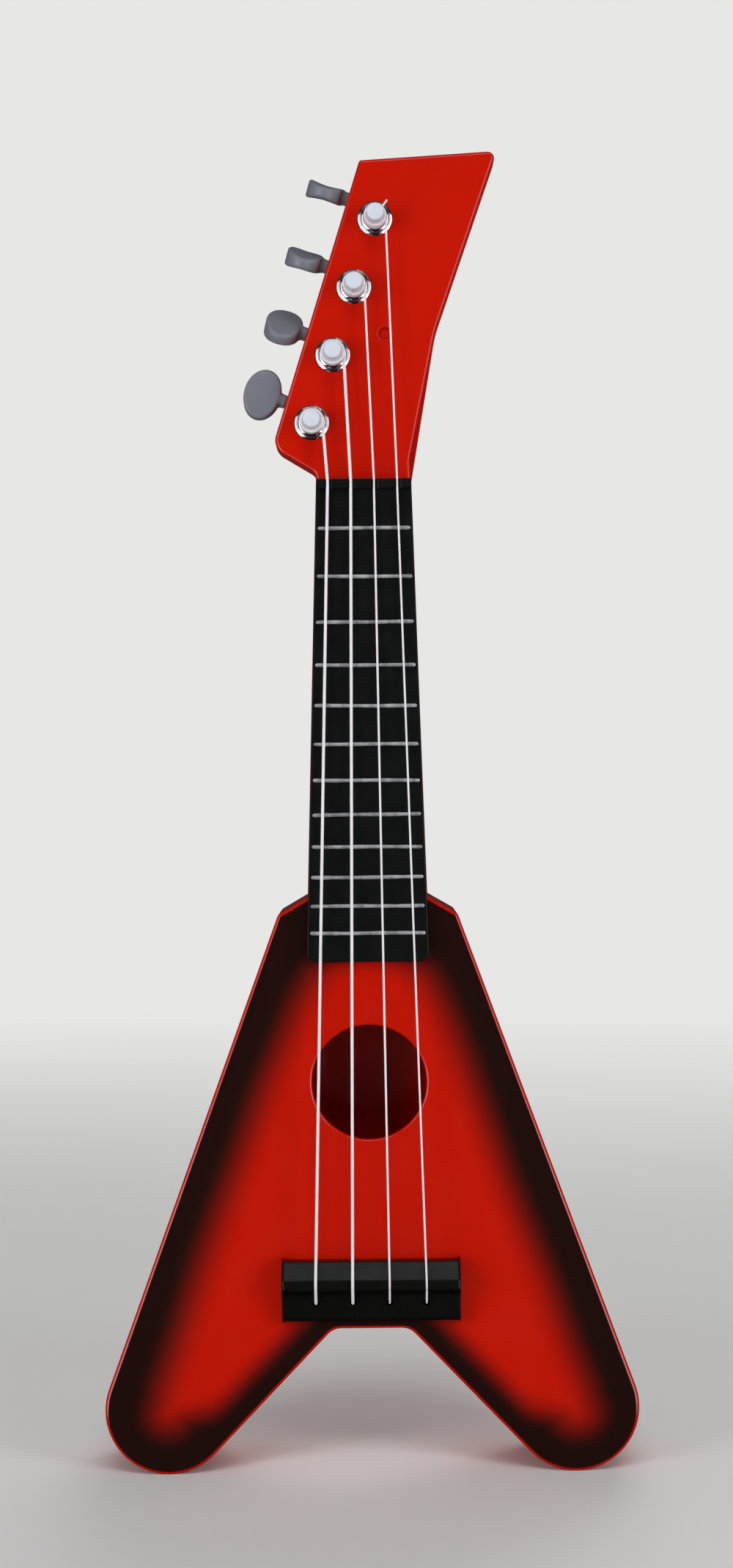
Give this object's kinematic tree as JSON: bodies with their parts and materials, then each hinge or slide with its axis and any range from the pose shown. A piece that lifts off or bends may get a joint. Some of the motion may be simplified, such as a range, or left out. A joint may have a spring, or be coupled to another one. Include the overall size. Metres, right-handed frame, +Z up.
{
  "type": "toy guitar",
  "caption": "Toy guitar with a V-shaped hollow body, sound hole, black fretboard and bridge, nylon strings and worm-geared tuners that turn from paddle knobs on one side.",
  "frame": {"origin": "floor level under the middle of the guitar, between its two wing tips, half way through its depth", "axes": "+Z up the neck to the headstock, -Y out of the playing face, +X to the right as seen from the front, away from the tuning knobs' side of the headstock"},
  "size_m": [0.1748, 0.0506, 0.432],
  "materials": {
    "case_plastic": "gloss injection-moulded red plastic with a dark sprayed burst on the front",
    "board_plastic": "satin moulded black plastic with silver-painted fret ridges",
    "bridge_plastic": "moulded black plastic",
    "knob_plastic": "satin grey plastic",
    "post_plastic": "white moulded plastic",
    "string_nylon": "white nylon line",
    "bushing_chrome": "bright plated",
    "shaft_steel": "plain machined",
    "gear_brass": "plain machined",
    "screw_steel": "zinc plated"
  },
  "bodies": {
    "guitar": {"front_shell": "case_plastic", "back_shell": "case_plastic", "fretboard": "board_plastic", "bridge": "bridge_plastic", "bushing_1": "bushing_chrome", "string_1": "string_nylon", "bushing_2": "bushing_chrome", "string_2": "string_nylon", "bushing_3": "bushing_chrome", "string_3": "string_nylon", "bushing_4": "bushing_chrome", "string_4": "string_nylon", "case_screw_1": "screw_steel", "case_screw_2": "screw_steel", "case_screw_3": "screw_steel", "case_screw_4": "screw_steel", "case_screw_5": "screw_steel", "case_screw_6": "screw_steel", "case_screw_7": "screw_steel", "case_screw_8": "screw_steel", "case_screw_9": "screw_steel", "case_screw_10": "screw_steel", "case_screw_11": "screw_steel", "bridge_screw_1": "screw_steel", "bridge_screw_2": "screw_steel", "fretboard_screw_1": "screw_steel", "fretboard_screw_2": "screw_steel", "fretboard_screw_3": "screw_steel"},
    "knob_1": {"tuning_knob_1": "knob_plastic", "worm_shaft_1": "shaft_steel"},
    "post_1": {"string_post_1": "post_plastic", "post_gear_1": "gear_brass", "gear_screw_1": "screw_steel", "string_winding_1": "string_nylon"},
    "knob_2": {"tuning_knob_2": "knob_plastic", "worm_shaft_2": "shaft_steel"},
    "post_2": {"string_post_2": "post_plastic", "post_gear_2": "gear_brass", "gear_screw_2": "screw_steel", "string_winding_2": "string_nylon"},
    "knob_3": {"tuning_knob_3": "knob_plastic", "worm_shaft_3": "shaft_steel"},
    "post_3": {"string_post_3": "post_plastic", "post_gear_3": "gear_brass", "gear_screw_3": "screw_steel", "string_winding_3": "string_nylon"},
    "knob_4": {"tuning_knob_4": "knob_plastic", "worm_shaft_4": "shaft_steel"},
    "post_4": {"string_post_4": "post_plastic", "post_gear_4": "gear_brass", "gear_screw_4": "screw_steel", "string_winding_4": "string_nylon"}
  },
  "joints": [
    {"name": "knob_turn_1", "type": "hinge", "parent": "guitar", "child": "knob_1", "pos_m": [0.00606, -0.006, 0.41496], "axis": [-0.9556, 0, 0.2947], "continuous": true},
    {"name": "post_turn_1", "type": "hinge", "parent": "guitar", "child": "post_1", "pos_m": [0.0045, -0.006, 0.4099], "axis": [0, -1, 0], "continuous": true},
    {"name": "knob_turn_2", "type": "hinge", "parent": "guitar", "child": "knob_2", "pos_m": [-0.00104, -0.006, 0.39276], "axis": [-0.9556, 0, 0.2947], "continuous": true},
    {"name": "post_turn_2", "type": "hinge", "parent": "guitar", "child": "post_2", "pos_m": [-0.0026, -0.006, 0.3877], "axis": [0, -1, 0], "continuous": true},
    {"name": "knob_turn_3", "type": "hinge", "parent": "guitar", "child": "knob_3", "pos_m": [-0.00814, -0.006, 0.37056], "axis": [-0.9556, 0, 0.2947], "continuous": true},
    {"name": "post_turn_3", "type": "hinge", "parent": "guitar", "child": "post_3", "pos_m": [-0.0097, -0.006, 0.3655], "axis": [0, -1, 0], "continuous": true},
    {"name": "knob_turn_4", "type": "hinge", "parent": "guitar", "child": "knob_4", "pos_m": [-0.01524, -0.006, 0.34836], "axis": [-0.9556, 0, 0.2947], "continuous": true},
    {"name": "post_turn_4", "type": "hinge", "parent": "guitar", "child": "post_4", "pos_m": [-0.0168, -0.006, 0.3433], "axis": [0, -1, 0], "continuous": true}
  ],
  "couplings": [
    {"joint": "post_turn_1", "follows": "knob_turn_1", "ratio": -0.071429},
    {"joint": "post_turn_2", "follows": "knob_turn_2", "ratio": -0.071429},
    {"joint": "post_turn_3", "follows": "knob_turn_3", "ratio": -0.071429},
    {"joint": "post_turn_4", "follows": "knob_turn_4", "ratio": -0.071429}
  ]
}
